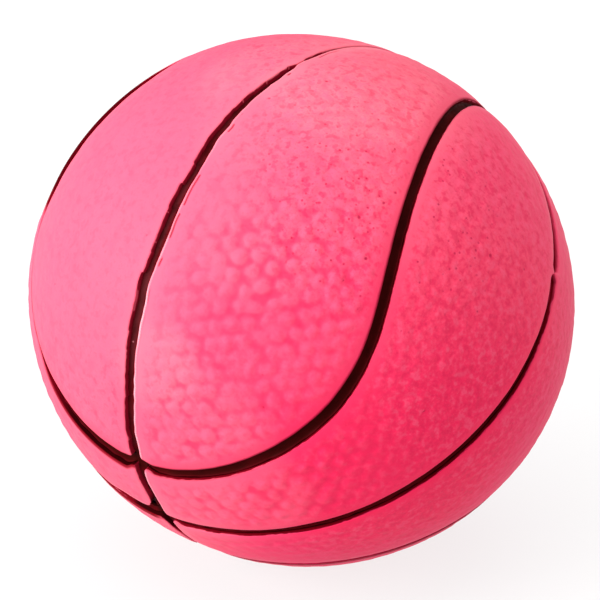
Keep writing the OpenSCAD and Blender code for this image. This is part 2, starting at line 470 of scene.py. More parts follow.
# ---------------------------------------------------------------------------
# Cutting a field out of the grid
# ---------------------------------------------------------------------------
def snapped(q, m, sx, sz, side, reach):
    """Grid points that lie close to a field's edge, moved on to it."""
    close = np.nonzero(np.abs(m) < reach)[0]
    for _ in range(2):
        a = q[close]
        u = unit(np.cross(a, np.array([0.31, 0.52, 0.79])))
        v = np.cross(a, u)
        d = 0.01 / R
        m0 = inside(a, sx, sz, side)
        gu = (inside(unit(a + u * d), sx, sz, side) - m0) / 0.01
        gv = (inside(unit(a + v * d), sx, sz, side) - m0) / 0.01
        g2 = np.maximum(gu * gu + gv * gv, 0.2)
        q[close] = unit(a - (u * (gu * m0 / g2)[:, None] + v * (gv * m0 / g2)[:, None]) / R)
    m[close] = 0.0
    return q, m


def cut_field(grid, tris, rough, sx, sz, side, inset, spacing):
    """Points and triangles of a field, and its edge as one closed loop of points."""
    keep = (rough[tris] > -0.6).any(1)
    used, back = np.unique(tris[keep], return_inverse=True)
    tri = back.reshape(-1, 3)
    q = grid[used].copy()
    if inset:
        m = inside(q, sx, sz, side) - inset
        close = np.abs(m) < spacing * 0.2
        m[close] = 0.0
    else:
        m = inside(q, sx, sz, side)
        q, m = snapped(q, m, sx, sz, side, spacing * 0.3)
    state = np.sign(m)
    s = state[tri]
    whole = (s >= 0).all(1) & (s > 0).any(1)
    mixed = (s < 0).any(1) & (s > 0).any(1)
    points = list(q)
    made = {}
    extra = []

    def between(i, j):
        k = (i, j) if i < j else (j, i)
        if k not in made:
            f = m[i] / (m[i] - m[j])
            made[k] = len(points)
            points.append(unit(q[i] * (1 - f) + q[j] * f))
        return made[k]

    for t in tri[mixed]:
        loop = []
        for a in range(3):
            i, j = t[a], t[(a + 1) % 3]
            if state[i] >= 0:
                loop.append(i)
            if state[i] * state[j] < 0:
                loop.append(between(i, j))
        for a in range(1, len(loop) - 1):
            extra.append((loop[0], loop[a], loop[a + 1]))
    tri = np.concatenate([tri[whole], np.array(extra, int).reshape(-1, 3)])
    points = np.array(points)
    used, back = np.unique(tri, return_inverse=True)
    tri = back.reshape(-1, 3)
    points = points[used]
    n = len(points)
    e = np.concatenate([tri[:, [0, 1]], tri[:, [1, 2]], tri[:, [2, 0]]])
    open_edge = e[~np.isin(e[:, 0] * n + e[:, 1], e[:, 1] * n + e[:, 0])]
    nxt = dict(open_edge.tolist())
    loops = []
    while nxt:
        a = next(iter(nxt))
        loop = [a]
        b = nxt.pop(a)
        while b != a and b in nxt:
            loop.append(b)
            b = nxt.pop(b)
        loops.append(loop)
    loops.sort(key=len)
    return points, tri, np.array(loops[-1])


def zipper(outer, inner, pts):
    """Triangles between two closed loops that run side by side the same way round."""
    po, pi = pts[outer], pts[inner]
    start = int(np.argmin(((po - pi[0]) ** 2).sum(1)))
    outer = np.roll(outer, -start)
    po = pts[outer]
    n, k = len(outer), len(inner)
    at = np.array([int(np.argmin(((po - p) ** 2).sum(1))) for p in pi])
    for i in range(1, k):
        lo = at[i - 1]
        if at[i] < lo or at[i] > lo + n // 3:
            at[i] = lo
    at = np.append(at, n)
    out, i, j = [], 0, 0
    while i < n or j < k:
        if j >= k or (i < n and i + 1 <= (at[j] + at[j + 1]) / 2 + 0.5):
            out.append((outer[(i + 1) % n], outer[i % n], inner[j % k]))
            i += 1
        else:
            out.append((inner[j % k], inner[(j + 1) % k], outer[i % n]))
            j += 1
    return np.array(out)


def flat_map(q, centre, u, v):
    """Equal-area map of directions on to a plane about a centre."""
    k = np.sqrt(2 / np.maximum(1 + q @ centre, 0.2))
    return np.stack([k * (q @ u), k * (q @ v)], 1)


def fitted(uv, x0, y0, x1, y1):
    lo, hi = uv.min(0), uv.max(0)
    s = min((x1 - x0) / (hi[0] - lo[0]), (y1 - y0) / (hi[1] - lo[1]))
    return (uv - lo) * s + np.array([x0, y0])


def new_piece(name, verts, tris, uv, masks, material):
    """A mesh object from arrays, in metres. uv holds three corners for each triangle."""
    me = bpy.data.meshes.new(name)
    me.vertices.add(len(verts))
    me.vertices.foreach_set("co", verts.astype(np.float32).ravel())
    me.loops.add(3 * len(tris))
    me.loops.foreach_set("vertex_index", tris.astype(np.int32).ravel())
    me.polygons.add(len(tris))
    me.polygons.foreach_set("loop_start", np.arange(0, 3 * len(tris), 3, dtype=np.int32))
    me.update(calc_edges=True)
    me.polygons.foreach_set("use_smooth", np.ones(len(tris), bool))
    layer = me.uv_layers.new(name="OFBake")
    layer.data.foreach_set("uv", uv.astype(np.float32).ravel())
    for key, values in masks.items():
        at = me.attributes.new(key, "FLOAT", "POINT")
        at.data.foreach_set("value", np.asarray(values, np.float32))
    me.update()
    me.materials.append(material)
    ob = bpy.data.objects.new(name, me)
    bpy.context.scene.collection.objects.link(ob)
    return ob


# ---------------------------------------------------------------------------
# Finishes
# ---------------------------------------------------------------------------
def finish_tree(name):
    mat = bpy.data.materials.new(name)
    mat.use_nodes = True
    nt = mat.node_tree
    nt.nodes.clear()
    out = nt.nodes.new("ShaderNodeOutputMaterial")
    bsdf = nt.nodes.new("ShaderNodeBsdfPrincipled")
    nt.links.new(bsdf.outputs[0], out.inputs[0])
    where = nt.nodes.new("ShaderNodeTexCoord")
    return mat, nt, bsdf, where.outputs["Object"]


def mask(nt, name):
    n = nt.nodes.new("ShaderNodeAttribute")
    n.attribute_name = name
    return n.outputs["Fac"]


def noise_node(nt, where, scale, detail=2.0, rough=0.5):
    n = nt.nodes.new("ShaderNodeTexNoise")
    n.inputs["Scale"].default_value = scale
    n.inputs["Detail"].default_value = detail
    n.inputs["Roughness"].default_value = rough
    nt.links.new(where, n.inputs["Vector"])
    return n.outputs["Fac"]


def cells_node(nt, where, scale, feature="F1"):
    n = nt.nodes.new("ShaderNodeTexVoronoi")
    n.feature = feature
    n.inputs["Scale"].default_value = scale
    nt.links.new(where, n.inputs["Vector"])
    return n


def remap(nt, value, a, b, c, d):
    n = nt.nodes.new("ShaderNodeMapRange")
    n.interpolation_type = "SMOOTHSTEP"
    n.inputs["From Min"].default_value = a
    n.inputs["From Max"].default_value = b
    n.inputs["To Min"].default_value = c
    n.inputs["To Max"].default_value = d
    nt.links.new(value, n.inputs["Value"])
    return n.outputs["Result"]


def calc(nt, op, a, b):
    n = nt.nodes.new("ShaderNodeMath")
    n.operation = op
    for i, x in enumerate((a, b)):
        if isinstance(x, (int, float)):
            n.inputs[i].default_value = x
        else:
            nt.links.new(x, n.inputs[i])
    return n.outputs[0]


def blend_colour(nt, fac, a, b):
    n = nt.nodes.new("ShaderNodeMix")
    n.data_type = "RGBA"
    nt.links.new(fac, n.inputs[0])
    for s, x in ((n.inputs[6], a), (n.inputs[7], b)):
        if isinstance(x, tuple):
            s.default_value = (*x, 1)
        else:
            nt.links.new(x, s)
    return n.outputs[2]


def bump(nt, height, strength, distance, normal=None):
    n = nt.nodes.new("ShaderNodeBump")
    n.inputs["Strength"].default_value = strength
    n.inputs["Distance"].default_value = distance
    nt.links.new(height, n.inputs["Height"])
    if normal is not None:
        nt.links.new(normal, n.inputs["Normal"])
    return n.outputs["Normal"]


PINK = (0.690, 0.022, 0.097)
PINK_WARM = (0.680, 0.018, 0.089)
# paler pink for the painted sheen on the lit side
PINK_SHEEN = (0.720, 0.122, 0.175)
# paler pink for random mottle and for the painted highlight on pebble tops
PINK_MOTTLE_AND_HIGHLIGHT = (0.710, 0.075, 0.155)
# deeper pink for the painted shade on the side away from the key light
PINK_SHADE_RIGHT = (0.74, 0.011, 0.069)
# deeper pink for random mottle and for painted shade in valleys and beside grooves
PINK_MOTTLE_AND_SHADE = (0.59, 0.009, 0.062)
PINK_DEEP = (0.36, 0.004, 0.032)
# darker pink for painted shade inside pores and pinholes
PINK_PIT_SHADE = (0.42, 0.006, 0.048)
WALL_RED = (0.15, 0.001, 0.006)
WALL_WARM = (0.30, 0.008, 0.026)
WALL_BLACK = (0.014, 0.0006, 0.0008)
# pale flash colour, partly a painted highlight
FLASH_AND_HIGHLIGHT = (0.68, 0.33, 0.38)


def skin_finish():
    mat, nt, bsdf, where = finish_tree("pink_skin")
    slow = noise_node(nt, where, 120.0, 3.0, 0.55)
    mott = noise_node(nt, where, 1150.0, 1.8, 0.55)
    fine = noise_node(nt, where, 3200.0, 2.0, 0.6)
    grain = mask(nt, "grain")
    c = blend_colour(nt, remap(nt, slow, 0.35, 0.65, 0.0, 1.0), PINK_WARM, PINK)
    # painted shade: deeper pink on the side away from the key light
    c = blend_colour(nt, mask(nt, "painted_shade_right"), c, PINK_SHADE_RIGHT)
    # painted sheen: paler pink where the key light falls
    c = blend_colour(nt, mask(nt, "painted_sheen"), c, PINK_SHEEN)
    c = blend_colour(nt, calc(nt, "MULTIPLY", remap(nt, mott, 0.48, 0.68, 0.0, 0.62), grain), c, PINK_MOTTLE_AND_HIGHLIGHT)
    c = blend_colour(nt, calc(nt, "MULTIPLY", remap(nt, mott, 0.34, 0.50, 0.62, 0.0), grain), c, PINK_MOTTLE_AND_SHADE)
    c = blend_colour(nt, calc(nt, "MULTIPLY", remap(nt, fine, 0.50, 0.70, 0.0, 0.30), grain), c, PINK_MOTTLE_AND_HIGHLIGHT)
    c = blend_colour(nt, calc(nt, "MULTIPLY", remap(nt, fine, 0.32, 0.50, 0.30, 0.0), grain), c, PINK_MOTTLE_AND_SHADE)
    # painted highlight on pebble tops, painted shade in the valleys
    c = blend_colour(nt, calc(nt, "MULTIPLY", mask(nt, "painted_pebble_highlight"), 0.24), c, PINK_MOTTLE_AND_HIGHLIGHT)
    c = blend_colour(nt, calc(nt, "MULTIPLY", mask(nt, "painted_valley_shade"), 0.70), c, PINK_MOTTLE_AND_SHADE)
    # painted shade: darker band beside the winding groove
    c = blend_colour(nt, mask(nt, "painted_groove_shade"), c, PINK_MOTTLE_AND_SHADE)
    # pores: small dark cells, only some of them open; they and the pinholes are darkened in colour as painted shade
    # inside the holes
    pores = cells_node(nt, where, 1250.0)
    open_cell = remap(nt, pores.outputs["Color"], 0.58, 0.62, 0.0, 1.0)
    dot = remap(nt, pores.outputs["Distance"], 0.10, 0.25, 1.0, 0.0)
    pore = calc(nt, "MULTIPLY", calc(nt, "MULTIPLY", dot, open_cell), remap(nt, grain, 0.40, 0.85, 0.0, 0.85))
    pore = calc(nt, "MULTIPLY", pore, mask(nt, "porous"))
    hole_shade = calc(nt, "MAXIMUM", pore, remap(nt, mask(nt, "pit"), 0.12, 0.75, 0.0, 0.95))
    c = blend_colour(nt, hole_shade, c, PINK_PIT_SHADE)
    # flash ridge: partly real flash, partly a painted highlight
    c = blend_colour(nt, mask(nt, "flash_and_highlight"), c, FLASH_AND_HIGHLIGHT)
    # crease beside the flash ridge, darkened as painted shade
    c = blend_colour(nt, remap(nt, mask(nt, "crease_and_shade"), 0.15, 0.9, 0.0, 0.9), c, (0.22, 0.002, 0.018))
    stain = mask(nt, "stain")
    wall = blend_colour(nt, mask(nt, "warm"), WALL_RED, WALL_WARM)
    c = blend_colour(nt, remap(nt, stain, 0.05, 0.45, 0.0, 1.0), c, wall)
    c = blend_colour(nt, remap(nt, stain, 0.55, 1.0, 0.0, 1.0), c, WALL_BLACK)
    nt.links.new(c, bsdf.inputs["Base Color"])
    rough = calc(nt, "ADD", remap(nt, mott, 0.3, 0.7, 0.50, 0.60), remap(nt, mask(nt, "rim"), 0.2, 1.0, 0.0, -0.07))
    nt.links.new(rough, bsdf.inputs["Roughness"])
    nt.links.new(remap(nt, stain, 0.0, 0.35, 0.10, 0.01), bsdf.inputs["Specular IOR Level"])
    n = bump(nt, mott, 0.16, 0.00006)
    n = bump(nt, fine, 0.10, 0.00003, n)
    n = bump(nt, calc(nt, "MULTIPLY", pore, -1.0), 0.5, 0.00008, n)
    nt.links.new(n, bsdf.inputs["Normal"])
    return mat


def paint_finish():
    mat, nt, bsdf, where = finish_tree("groove_paint")
    cloud = noise_node(nt, where, 420.0, 4.0, 0.6)
    grit = noise_node(nt, where, 3600.0, 2.0, 0.6)
    thin = mask(nt, "thin")
    c = blend_colour(nt, remap(nt, thin, 0.1, 0.5, 0.0, 1.0), (0.032, 0.0008, 0.0008), (0.082, 0.001, 0.003))
    c = blend_colour(nt, remap(nt, thin, 0.5, 0.95, 0.0, 1.0), c, (0.075, 0.0085, 0.011))
    c = blend_colour(nt, remap(nt, cloud, 0.45, 0.70, 0.0, 0.6), c, (0.020, 0.0008, 0.0008))
    c = blend_colour(nt, remap(nt, mask(nt, "edge"), 0.3, 1.0, 0.0, 0.7), c, (0.09, 0.001, 0.004))
    specks = cells_node(nt, where, 900.0)
    lone = calc(nt, "MULTIPLY", remap(nt, specks.outputs["Color"], 0.86, 0.88, 0.0, 1.0),
                remap(nt, specks.outputs["Distance"], 0.06, 0.13, 1.0, 0.0))
    c = blend_colour(nt, calc(nt, "MULTIPLY", lone, remap(nt, thin, 0.3, 0.7, 0.0, 0.8)), c, (0.42, 0.13, 0.15))
    c = blend_colour(nt, mask(nt, "bare"), c, PINK_DEEP)
    nt.links.new(c, bsdf.inputs["Base Color"])
    nt.links.new(remap(nt, cloud, 0.3, 0.7, 0.5, 0.68), bsdf.inputs["Roughness"])
    bsdf.inputs["Specular IOR Level"].default_value = 0.02
    n = bump(nt, cloud, 0.25, 0.00008)
    n = bump(nt, grit, 0.2, 0.00003, n)
    nt.links.new(n, bsdf.inputs["Normal"])
    return mat


def foam_finish():
    mat, nt, bsdf, where = finish_tree("open_foam")
    slow = noise_node(nt, where, 160.0, 3.0, 0.5)
    cell = mask(nt, "cell")
    c = blend_colour(nt, remap(nt, slow, 0.35, 0.65, 0.0, 1.0), (0.86, 0.13, 0.24), (0.90, 0.20, 0.32))
    # painted shade: darker colour towards the bottom of each cell dent
    c = blend_colour(nt, remap(nt, cell, 0.25, 0.9, 0.0, 0.8), c, (0.50, 0.02, 0.07))
    c = blend_colour(nt, mask(nt, "soaked"), c, (0.025, 0.001, 0.0012))
    nt.links.new(c, bsdf.inputs["Base Color"])
    nt.links.new(remap(nt, slow, 0.3, 0.7, 0.72, 0.86), bsdf.inputs["Roughness"])
    bsdf.inputs["Specular IOR Level"].default_value = 0.3
    fine = noise_node(nt, where, 2600.0, 3.0, 0.6)
    nt.links.new(bump(nt, fine, 0.3, 0.00006), bsdf.inputs["Normal"])
    return mat


SKIN_MAT, PAINT_MAT, FOAM_MAT = skin_finish(), paint_finish(), foam_finish()


# ---------------------------------------------------------------------------
# The skin, field by field
# ---------------------------------------------------------------------------
FIELDS = []
for kind, side in (("panel", -1), ("cheek", 1)):
    for place, sx, sz in (("upper_right", 1, 1), ("upper_left", -1, 1),
                          ("lower_left", -1, -1), ("lower_right", 1, -1)):
        FIELDS.append((f"skin_{kind}_{place}", sx, sz, side))

GRID, GRID_T = geodesic(FINE)
GRID = GRID @ turned(11.0, 23.0, 37.0).T
GRID_C = seam_distance(GRID)[0]
GRID_A = np.arcsin(np.clip(GRID[:, 0], -1, 1)) * R
GRID_B = np.arcsin(np.clip(GRID[:, 2], -1, 1)) * R
UNDER, UNDER_T = geodesic(COARSE)
UNDER = UNDER @ turned(7.0, 41.0, 13.0).T
UNDER_C = seam_distance(UNDER)[0]
UNDER_A = np.arcsin(np.clip(UNDER[:, 0], -1, 1)) * R
UNDER_B = np.arcsin(np.clip(UNDER[:, 2], -1, 1)) * R
SPACING = R * 1.107 / FINE
WALL_ROWS = 7


def unpainted(q):
    """Stretches of the parting groove that took little paint."""
    d = np.degrees(np.arctan2(q[:, 2], q[:, 1])) % 360
    return 0.75 * np.maximum(ramp(d, 183, 187) * (1 - ramp(d, 206, 216)), ramp(d, 12, 20) * (1 - ramp(d, 38, 45)))


def thin_stretch(q):
    """Stretch of the cross groove where the paint is thin and red."""
    d = np.degrees(np.arctan2(q[:, 1], q[:, 0])) % 360
    return ramp(d, 8, 30) * (1 - ramp(d, 75, 95))


def wall_stain(q, sx, sz, side, depth):
    """How dark the paint has left the wall of a groove, from 0 bare to 1 black, at a depth in mm below the edge."""
    ea, eb, ec, t = edges(q, sx, sz, side)
    aa, pa = ring_a(q)
    p = q * R
    on_a = (ea < np.minimum(eb, ec))
    on_b = (eb < np.minimum(ea, ec))
    top = 0.05 + 0.05 * noise(p, 1.6, 61) + 0.04 * noise(p, 0.5, 62)
    red = ramp(depth, top, top + 0.10) * 0.5
    black = ramp(depth, 0.24, 0.62) * np.where(on_a, 0.16, 0.5)
    s = red + black
    if sx < 0:
        # thin clean ticks, and runs where the paint stops short, on the parting groove
        run = aa * R / 4.6 + 0.9 * noise(pa, 6.0, 63)
        cell = np.floor(run).astype(np.int64)
        clean = _hash(cell, 0 * cell, 0 * cell, 64) * (1 - ramp(depth, 0.35, 0.8))
        tick = np.abs(run - cell - 0.5)
        s = np.where(on_a, s * (1 - ramp(clean, 0.4, 0.6) * (1 - ramp(tick, 0.012, 0.035))), s)
    bare = near(q, 0.0, 0.602, 0.799, 1.6)
    s = np.where(on_a, s * (1 - 0.85 * bare) * (1 - 0.8 * unpainted(q)), s)
    on_c = ~on_a & ~on_b
    if sx < 0 and sz > 0:
        s = np.where(on_c, np.maximum(s, 0.5 * ramp(np.degrees(t), 20, 28) + 0.42 * ramp(np.degrees(t), 25, 34)
                                       + 0.75 * sunk_stretch(t)), s)
    s = np.where(on_c, s * (1 - (0.55 if sx > 0 else 0.10) * shut(t, sx, sz)), s)
    if sx < 0 and side > 0:
        s = np.maximum(s, 0.92 * near(q, -0.06, -0.998, 0.0, 12))
    s = np.where(on_b, s * (1 - 0.75 * near(q, 0.889, 0.458, 0.008, 1.1)) * (1 - 0.5 * thin_stretch(q)), s)
    return s, on_a * 1.0


def build_field(name, sx, sz, side):
    rough = np.minimum(np.minimum(sx * GRID_A, sz * GRID_B), side * GRID_C) - GROOVE / 2
    q, tri, edge = cut_field(GRID, GRID_T, rough, sx, sz, side, 0.0, SPACING)
    h, masks = skin_relief(q, sx, sz, side)
    n = len(q)
    verts = [q * (R + h)[:, None]]
    # a little paint is rubbed over the edge of the fields inside the winding groove
    ea, eb, ec, t = edges(q, sx, sz, side)
    rub = 0.16 + 0.08 * noise(q * R, 1.4, 65)
    masks["stain"] = (0.34 if side < 0 else 0.22) * (1 - shut(t, sx, sz)) \
        * (1 - ramp(ec, -0.05, rub + (0.36 if side < 0 else 0.20)))
    if sx < 0 and sz > 0 and side > 0:
        masks["stain"] = np.maximum(masks["stain"], 0.80 * sunk_stretch(t) * (1 - ramp(ec, 0.35, 1.5)))
        low = ramp(np.degrees(t), 22, 30)
        masks["stain"] = np.maximum(masks["stain"], 0.40 * low * (1 - ramp(ec, 0.1, 0.9)))
    if sx < 0 and sz < 0 and side > 0:
        masks["stain"] = np.maximum(masks["stain"], 0.50 * near(q, -0.24, -0.97, 0.0, 17) * (1 - ramp(eb, 0.3, 1.2)))
    if sx > 0 and sz < 0 and side < 0:
        masks["stain"] = np.maximum(masks["stain"], 0.42 * shut(t, sx, sz) * (1 - ramp(ec, 0.5, 1.6)))
    # painted shade: a darker band on the shoulder beside the winding groove, mostly on the panel side
    masks["painted_groove_shade"] = (0.45 if side < 0 else 0.10) * (1 - ramp(ec, 0.0, 2.4)) * ramp(np.minimum(ea, eb), 0.3, 2.0)
    masks["warm"] = np.zeros(n)
    # walls of the grooves, from the edge down to the foam
    top = (R + h)[edge]
    m = len(edge)
    qe = q[edge]
    out_u = unit(np.cross(np.roll(qe, -1, 0) - np.roll(qe, 1, 0), qe))
    stains = []
    for j in range(1, WALL_ROWS + 1):
        f = (j / WALL_ROWS) ** 1.15
        r = top + (CORE_R - top) * f
        p = qe * r[:, None]
        if j < WALL_ROWS:
            p = p + out_u * (0.018 * noise(p, 0.5, 71) + 0.015 * noise(p, 1.5, 72))[:, None]
        verts.append(p)
        stain, warm = wall_stain(qe, sx, sz, side, top - r)
        stains.append(stain)
    ring = [edge] + [n + j * m + np.arange(m) for j in range(WALL_ROWS)]
    walls = []
    wall_uv = []
    along = np.append(0, np.cumsum(np.linalg.norm(np.roll(qe, -1, 0) - qe, axis=1)))
    along = along / along[-1]
    nxt = np.roll(np.arange(m), -1)
    for j in range(WALL_ROWS):
        a, b = ring[j], ring[j][nxt]
        c, d = ring[j + 1], ring[j + 1][nxt]
        walls.append(np.stack([b, a, c], 1))
        walls.append(np.stack([b, c, d], 1))
        ua, ub = along[:-1], along[1:]
        v0 = np.full(m, 0.900 - 0.06 * j / WALL_ROWS)
        v1 = np.full(m, 0.900 - 0.06 * (j + 1) / WALL_ROWS)
        A, B, C, D = (np.stack(x, 1) for x in ((ua, v0), (ub, v0), (ua, v1), (ub, v1)))
        wall_uv.append(np.stack([B, A, C], 1))
        wall_uv.append(np.stack([B, C, D], 1))
    walls = np.concatenate(walls)
    wall_uv = np.concatenate(wall_uv) * np.array([0.96, 1.0]) + np.array([0.02, 0.0])
    # the underside, which lies on the foam
    rough = np.minimum(np.minimum(sx * UNDER_A, sz * UNDER_B), side * UNDER_C) - GROOVE / 2
    uq, utri, uedge = cut_field(UNDER, UNDER_T, rough, sx, sz, side, 0.5, R * 1.107 / COARSE)
    base = n + WALL_ROWS * m
    verts.append(uq * CORE_R)
    allq = np.concatenate([q] + [qe] * WALL_ROWS + [uq])
    strip = zipper(ring[-1], base + uedge, allq)
    under = np.concatenate([base + utri[:, ::-1], strip])

    centre = unit(q.mean(0))
    spread = np.linalg.svd((q - centre * (q @ centre)[:, None])[::40], full_matrices=False)[2]
    u = unit(spread[0] - centre * (spread[0] @ centre))
    v = np.cross(centre, u)
    flat = flat_map(allq, centre, u, v)
    outer_uv = fitted(flat[:n], 0.015, 0.015, 0.985, 0.82)
    under_uv = fitted(flat, 0.02, 0.915, 0.98, 0.985)
    uv = np.concatenate([outer_uv[tri], wall_uv, under_uv[under]])

    total = base + len(uq)
    full = {}
    for key, values in masks.items():
        a = np.zeros(total)
        a[:n] = values
        full[key] = a
    full["stain"][n:base] = np.concatenate(stains)
    full["warm"][n:base] = np.tile(warm, WALL_ROWS)
    full["warm"][edge] = warm
    full["rim"][n:] = 1.0
    full["painted_sheen"][n:] = np.concatenate([np.tile(masks["painted_sheen"][edge], WALL_ROWS), painted_sheen(uq)])
    verts = to_frame(np.concatenate(verts))
    ob = new_piece(name + "_skin", verts, np.concatenate([tri, walls, under]), uv, full, SKIN_MAT)
    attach(ob, "root")
    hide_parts(name)
    return ob


for field in FIELDS:
    build_field(*field)


# ---------------------------------------------------------------------------
# The paint in the grooves
# ---------------------------------------------------------------------------
# Across the strip: place from -1 to 1 and how far the wet paint crept up the wall
ACROSS = np.array([-1.0, -0.93, -0.82, -0.66, -0.45, -0.22, 0.0, 0.22, 0.45, 0.66, 0.82, 0.93, 1.0])


def paint_half(q, ring, way):
    """How far the paint reaches from the middle line of a groove, at points on that line."""
    sc, t = seam_distance(q)
    da = np.abs(np.arcsin(np.clip(q[:, 0], -1, 1))) * R
    db = np.abs(np.arcsin(np.clip(q[:, 2], -1, 1))) * R
    if ring == "a":
        w = at_crossings(half_a(q, way), db, np.abs(sc))
    elif ring == "b":
        w = at_crossings(half_b(q, way), da, np.abs(sc))
    else:
        w = at_crossings(half_c(t, np.sign(q[:, 0]), np.sign(q[:, 2]), way), da, db)
    return w - 0.05


def paint_strip(name, node, ring, line, count, closed, thin):
    """A strip of paint. line(s, y, end) gives directions for s from 0 to 1 and y in mm across."""
    s = np.arange(count) / (count if closed else count - 1)
    k = len(ACROSS)
    rows, creep, lift, clear = [], [], [], []
    mid = line(s, np.zeros(count), 0.0)
    reach = {-1: paint_half(mid, ring, -1), 1: paint_half(mid, ring, 1)}
    for a in ACROSS:
        q = line(s, a * reach[1 if a > 0 else -1], a * PAINT_HALF)
        p = q * R
        sc, _ = seam_distance(q)
        da = np.abs(np.arcsin(np.clip(q[:, 0], -1, 1))) * R
        db = np.abs(np.arcsin(np.clip(q[:, 2], -1, 1))) * R
        near_cross = np.sort(np.stack([da, db, np.abs(sc)]), 0)[1]
        open_side = ramp(near_cross, 0.75, 1.6)
        up = abs(a) ** 5 * (0.20 + 0.10 * noise(p, 1.1, 81)) * open_side
        up = up + 0.03 * noise(p, 2.4, 82) + 0.018 * noise(p, 0.7, 83) - 0.03 * (1 - a * a)
        rows.append(q * (CORE_R + PAINT + up)[:, None])
        creep.append(abs(a) ** 4 * open_side)
        # clear falls near crossings; on the parting ring it also falls towards the + side, painted shade on the side
        # out of the key light
        clear.append(ramp(near_cross, 0.9, 2.6) * (1 - (0.55 * float(ramp(a, -0.3, 0.6)) if ring == "a" else 0.0)))
        lift.append(q)
    for a in (1.0, 0.0, -1.0):
        q = line(s, a * reach[1 if a > 0 else -1], a * PAINT_HALF)
        rows.append(q * CORE_R)
        creep.append(np.zeros(count))
        clear.append(np.zeros(count))
        lift.append(q)
    total = k + 3
    verts = np.concatenate(rows)
    grid = np.arange(total * count).reshape(total, count)
    tris, uv = [], []
    last = count if closed else count - 1
    i = np.arange(last)
    j = (i + 1) % count
    u0, u1 = 0.02 + 0.96 * i / last, 0.02 + 0.96 * (i + 1) / last
    for a in range(total):
        b = (a + 1) % total
        v0, v1 = np.full(last, 0.06 + 0.88 * a / total), np.full(last, 0.06 + 0.88 * (a + 1) / total)
        P, Q, S, T = grid[a, i], grid[b, i], grid[a, j], grid[b, j]
        up, uq, us, ut = (np.stack(x, 1) for x in ((u0, v0), (u0, v1), (u1, v0), (u1, v1)))
        tris += [np.stack([P, S, Q], 1), np.stack([Q, S, T], 1)]
        uv += [np.stack([up, us, uq], 1), np.stack([uq, us, ut], 1)]
    if not closed:
        for end, flip in ((0, False), (count - 1, True)):
            cap = grid[:, end]
            fan = np.stack([np.full(total - 2, cap[0]), cap[1:-1], cap[2:]], 1)
            tris.append(fan[:, ::-1] if flip else fan)
            c = np.stack([0.02 + 0.01 * np.cos(cap * 1.0), 0.02 + 0.01 * np.sin(cap * 1.0)], 1)
            fan_uv = np.stack([np.tile(c[0], (total - 2, 1)), c[1:-1], c[2:]], 1)
            uv.append(fan_uv[:, ::-1] if flip else fan_uv)
    tris = np.concatenate(tris)
    uv = np.concatenate(uv)
    q = np.concatenate(lift)
    # outward faces, whichever way the line runs
    a, b, c = (verts[tris[:count, x]] for x in range(3))
    if (np.cross(b - a, c - a) * a).sum() < 0:
        tris = tris[:, ::-1]
        uv = uv[:, ::-1]
    p = q * R
    bare = np.maximum(near(q, 0.0, 0.602, 0.799, 1.6), 0.8 * near(q, 0.889, 0.458, 0.008, 1.1))
    if ring == "a":
        bare = np.maximum(bare, unpainted(q))
    elif ring == "b":
        bare = np.maximum(bare, 0.75 * thin_stretch(q))
    else:
        bare = np.maximum(bare, 0.5 * shut(seam_distance(q)[1], np.sign(q[:, 0]), np.sign(q[:, 2])))
    masks = {"edge": np.concatenate(creep) * (1 - near(q, 0.0, -1.0, 0.0, 9)), "bare": bare,
             "thin": np.clip(thin + 0.2 * noise(p, 4.0, 84), 0, 1) * np.concatenate(clear)}
    ob = new_piece(name, to_frame(verts), tris, uv, masks, PAINT_MAT)
    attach(ob, "root")
    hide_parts(node)
    return ob


def line_a(s, y, end):
    a = s * 2 * math.pi
    g = y / R
    return np.stack([np.sin(g), np.cos(a) * np.cos(g), np.sin(a) * np.cos(g)], 1)


def line_b(sign):
    def line(s, y, end):
        x0 = math.asin((PAINT_HALF + 0.02) / R)
        a = x0 + s * (math.pi - 2 * x0)
        g = y / R
        return np.stack([sign * np.sin(a) * np.cos(g), -np.cos(a) * np.cos(g), np.sin(g)], 1)
    return line


def line_c(sx, sz):
    def at(t, y):
        g = y / R
        return seam(t) * np.cos(g)[:, None] + seam_side(t) * np.sin(g)[:, None]

    def line(s, y, end):
        # the strip stops short of both rings
        ends = []
        for way in (-1, 1):
            lo, hi = np.zeros(1), np.array([way * math.radians(51)])
            for _ in range(40):
                c = (lo + hi) / 2
                q = at(c, np.array([end]))[0]
                if min(math.asin(q[0]), math.asin(q[2])) * R > PAINT_HALF + 0.02:
                    lo = c
                else:
                    hi = c
            ends.append(lo[0])
        return at(ends[0] + s * (ends[1] - ends[0]), y) * np.array([sx, 1.0, sz])
    return line


paint_strip("parting_ring_paint", "paint_parting_ring", "a", line_a, 1100, True, 0.82)
paint_strip("cross_ring_right_paint", "paint_cross_ring_right", "b", line_b(1), 560, False, 0.45)
paint_strip("cross_ring_left_paint", "paint_cross_ring_left", "b", line_b(-1), 560, False, 0.4)
for place, sx, sz in (("upper_right", 1, 1), ("upper_left", -1, 1), ("lower_left", -1, -1), ("lower_right", 1, -1)):
    paint_strip(f"seam_{place}_paint", f"paint_seam_{place}", "c", line_c(sx, sz), 520, False, 0.1)


